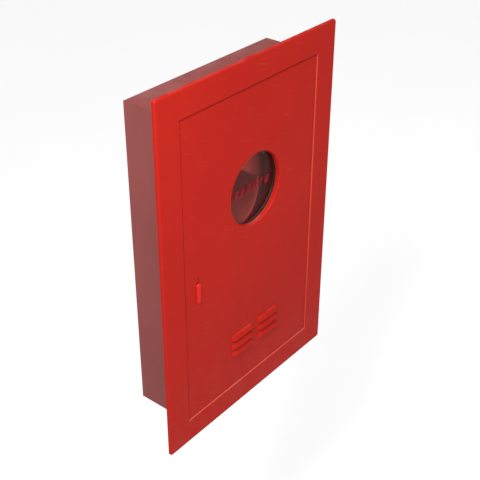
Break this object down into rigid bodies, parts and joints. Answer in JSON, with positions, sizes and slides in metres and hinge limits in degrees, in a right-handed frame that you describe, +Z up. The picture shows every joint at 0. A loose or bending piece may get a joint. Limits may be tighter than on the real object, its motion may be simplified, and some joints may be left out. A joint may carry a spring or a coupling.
{
  "type": "standpipe cabinet",
  "caption": "Recessed sheet-steel fire hose and standpipe cabinet: wide wall flange, flush louvred door with a round window, sliding latch and half-moon hose cradle.",
  "frame": {"origin": "centre of the box's flat rear face, which is also the centre of its four wall anchors", "axes": "+Z up, +Y into the wall, +X to the right as seen from the room in front"},
  "size_m": [0.6, 0.155, 0.9],
  "materials": {
    "red_paint": "satin",
    "red_box_paint": "satin",
    "cradle_paint": "satin",
    "red_grip": "gloss",
    "zinc_steel": "satin",
    "black_rubber": "matte",
    "grey_plastic": "matte",
    "magnet_steel": "satin",
    "black_nylon": "satin",
    "window_glass": "gloss"
  },
  "bodies": {
    "cabinet": {"flange_frame": "red_paint", "cabinet_wrapper": "red_box_paint", "back_panel": "red_box_paint", "back_panel_rivets": "zinc_steel", "pipe_grommet": "black_rubber", "door_stop_top": "red_box_paint", "door_stop_bottom": "red_box_paint", "door_stop_latch_side_upper": "red_box_paint", "door_stop_latch_side_lower": "red_box_paint", "hinge_side_baffle": "red_box_paint", "rubber_buffers": "black_rubber", "latch_keeper": "zinc_steel", "catch_housing": "grey_plastic", "catch_magnet": "magnet_steel", "catch_screws": "zinc_steel", "cradle_rail": "red_box_paint", "cradle_trough": "cradle_paint", "cradle_back_plate": "cradle_paint", "cradle_bolts": "zinc_steel", "cradle_nuts": "zinc_steel", "hinge_pin_top": "zinc_steel", "hinge_pin_bottom": "zinc_steel"},
    "door": {"door_panel": "red_paint", "door_brace": "red_paint", "window_glass": "window_glass", "window_gasket": "black_rubber", "window_retaining_ring": "zinc_steel", "window_clips": "zinc_steel", "window_studs": "zinc_steel", "window_nuts": "zinc_steel", "latch_guide_left": "zinc_steel", "latch_guide_right": "zinc_steel", "catch_armature": "zinc_steel", "hinge_bush_top": "black_nylon", "hinge_bush_bottom": "black_nylon", "hinge_plate_top": "zinc_steel", "hinge_plate_bottom": "zinc_steel"},
    "latch_slide": {"latch_grip": "red_grip", "latch_slide_plate": "red_paint", "latch_hook": "zinc_steel", "latch_screws": "zinc_steel"}
  },
  "joints": [
    {"name": "door_hinge", "type": "hinge", "parent": "cabinet", "child": "door", "pos_m": [0.2175, -0.1395, 0], "axis": [0, 0, 1], "range_deg": [0, 115]},
    {"name": "latch_slide", "type": "slide", "parent": "door", "child": "latch_slide", "axis": [0, 0, 1], "range_m": [0, 0.009]}
  ]
}
